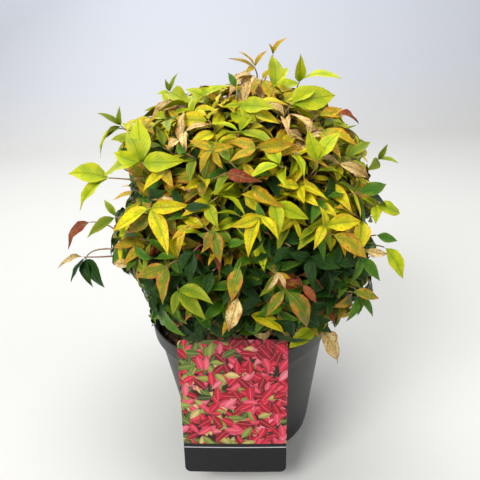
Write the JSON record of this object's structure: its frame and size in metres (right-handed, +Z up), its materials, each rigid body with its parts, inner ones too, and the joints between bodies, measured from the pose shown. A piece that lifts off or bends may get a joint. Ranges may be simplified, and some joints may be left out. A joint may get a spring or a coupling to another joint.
{
  "type": "potted shrub",
  "caption": "Dwarf heavenly bamboo: a dense ball of yellow-green leaflets on upright canes, in a round nursery pot with a hanging picture label.",
  "frame": {"origin": "middle of the flat underside of the pot", "axes": "+Z up; -Y is the front, where the label hangs; +X is to the right as seen from the front"},
  "size_m": [0.2887, 0.2817, 0.3666],
  "materials": {
    "pot_plastic": "dark grey injection-moulded plastic, semi-gloss",
    "potting_soil": "moist peat and bark chips",
    "label_card": "printed plastic card, glossy",
    "cane_bark": "thin brown ringed bark",
    "leaves_top": "lime-yellow leaf, slight gloss",
    "leaves_upper": "lime-yellow leaf, slight gloss",
    "leaves_middle": "yellow-green leaf, slight gloss",
    "leaves_lower": "deep green leaf, slight gloss"
  },
  "bodies": {
    "root": {"cane_lower_1": "cane_bark", "cane_lower_2": "cane_bark", "cane_lower_3": "cane_bark", "cane_lower_4": "cane_bark", "cane_lower_5": "cane_bark", "cane_middle_1": "cane_bark", "cane_middle_2": "cane_bark", "cane_middle_3": "cane_bark", "cane_middle_4": "cane_bark", "cane_middle_5": "cane_bark", "cane_middle_6": "cane_bark", "cane_top": "cane_bark", "cane_upper_1": "cane_bark", "cane_upper_2": "cane_bark", "cane_upper_3": "cane_bark", "cane_upper_4": "cane_bark", "foliage_lower_1": "leaves_lower", "foliage_lower_2": "leaves_lower", "foliage_lower_3": "leaves_lower", "foliage_lower_4": "leaves_lower", "foliage_lower_5": "leaves_lower", "foliage_middle_1": "leaves_middle", "foliage_middle_2": "leaves_middle", "foliage_middle_3": "leaves_middle", "foliage_middle_4": "leaves_middle", "foliage_middle_5": "leaves_middle", "foliage_middle_6": "leaves_middle", "foliage_top": "leaves_top", "foliage_upper_1": "leaves_upper", "foliage_upper_2": "leaves_upper", "foliage_upper_3": "leaves_upper", "foliage_upper_4": "leaves_upper", "label": "label_card", "pot": "pot_plastic", "soil": "potting_soil"}
  },
  "joints": []
}
